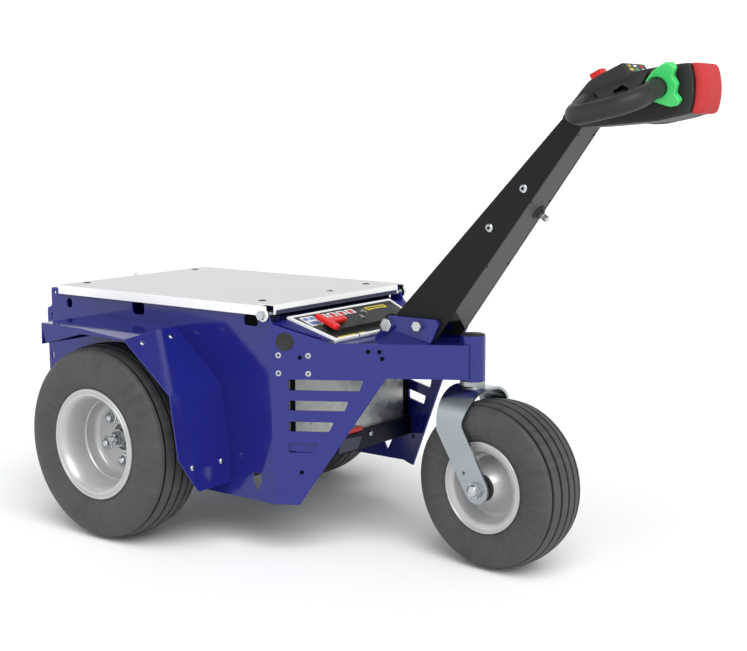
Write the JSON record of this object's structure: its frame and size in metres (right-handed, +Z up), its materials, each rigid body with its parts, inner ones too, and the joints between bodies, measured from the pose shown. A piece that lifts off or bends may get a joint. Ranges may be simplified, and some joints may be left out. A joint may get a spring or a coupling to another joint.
{
  "type": "electric tow tractor",
  "caption": "Pedestrian electric tow tractor: folded plate chassis with deck lid and fenders, driven wheels, castor, tow jaw and a tiller with ring grips.",
  "frame": {"origin": "on the floor, below the middle of the outline", "axes": "+X ahead towards the tiller, +Y to the left, +Z up"},
  "size_m": [1.5571, 0.754, 0.96],
  "materials": {
    "blue_paint": "gloss powder coat",
    "deck_paint": "satin powder coat",
    "galvanised_sheet": "galvanised",
    "battery_case": "moulded",
    "zinc_plate": "bright zinc plate",
    "bolt_steel": "zinc plate",
    "black_iron": "black paint",
    "rim_paint": "silver paint",
    "hub_steel": "zinc plate",
    "tyre_rubber": "matt rubber",
    "black_rubber": "matt rubber",
    "arm_paint": "satin powder coat",
    "black_moulding": "fine texture",
    "green_plastic": "moulded",
    "red_plastic": "moulded",
    "display_face": "film",
    "panel_sheet": "brushed",
    "key_metal": "plated"
  },
  "bodies": {
    "chassis": {"side_plate_right": "blue_paint", "side_plate_left": "blue_paint", "head_tube": "blue_paint", "top_plate": "blue_paint", "floor_tray": "blue_paint", "rear_plate": "blue_paint", "fender_right": "blue_paint", "fender_left": "blue_paint", "tiller_bracket": "blue_paint", "battery_box": "galvanised_sheet", "battery": "battery_case", "hinge_bolt_right": "bolt_steel", "hinge_bolt_left": "bolt_steel", "tiller_pivot": "bolt_steel", "tiller_lock": "bolt_steel", "drive_axle": "black_iron", "drive_motor": "black_iron", "tow_jaw": "black_iron", "lid_feet": "black_rubber", "console": "black_moulding", "isolator_handle": "red_plastic", "key_switch": "key_metal", "control_panel": "panel_sheet", "panel_cover": "blue_paint", "cross_member": "blue_paint"},
    "deck": {"deck_lid": "deck_paint"},
    "tiller": {"tiller_arm": "arm_paint", "tiller_head": "black_moulding", "throttle_paddle_right": "green_plastic", "throttle_paddle_left": "green_plastic", "belly_button": "red_plastic", "horn_tab": "red_plastic", "head_display": "display_face", "arm_knob": "black_moulding"},
    "castor": {"castor_fork": "zinc_plate", "castor_stem": "zinc_plate", "castor_axle": "bolt_steel"},
    "castor_wheel": {"castor_tyre": "tyre_rubber", "castor_rim": "rim_paint"},
    "wheel_right": {"tyre_right": "tyre_rubber", "rim_right": "rim_paint", "hub_right": "hub_steel"},
    "wheel_left": {"tyre_left": "tyre_rubber", "rim_left": "rim_paint", "hub_left": "hub_steel"}
  },
  "joints": [
    {"name": "wheel_right_spin", "type": "hinge", "parent": "chassis", "child": "wheel_right", "pos_m": [-0.3935, -0.312, 0.205], "axis": [0, 1, 0], "continuous": true},
    {"name": "wheel_left_spin", "type": "hinge", "parent": "chassis", "child": "wheel_left", "pos_m": [-0.3935, 0.312, 0.205], "axis": [0, 1, 0], "continuous": true},
    {"name": "castor_swivel", "type": "hinge", "parent": "chassis", "child": "castor", "pos_m": [0.2975, 0, 0.4], "axis": [0, 0, 1], "continuous": true},
    {"name": "castor_spin", "type": "hinge", "parent": "castor", "child": "castor_wheel", "pos_m": [0.36272, -0.00605, 0.165], "axis": [0.0924, 0.9957, 0], "continuous": true},
    {"name": "deck_hinge", "type": "hinge", "parent": "chassis", "child": "deck", "pos_m": [-0.0445, 0, 0.487], "axis": [0, 1, 0], "range_deg": [0, 60]},
    {"name": "tiller_tilt", "type": "hinge", "parent": "chassis", "child": "tiller", "pos_m": [0.1375, 0, 0.463], "axis": [0, -1, 0], "range_deg": [0, 12]}
  ]
}
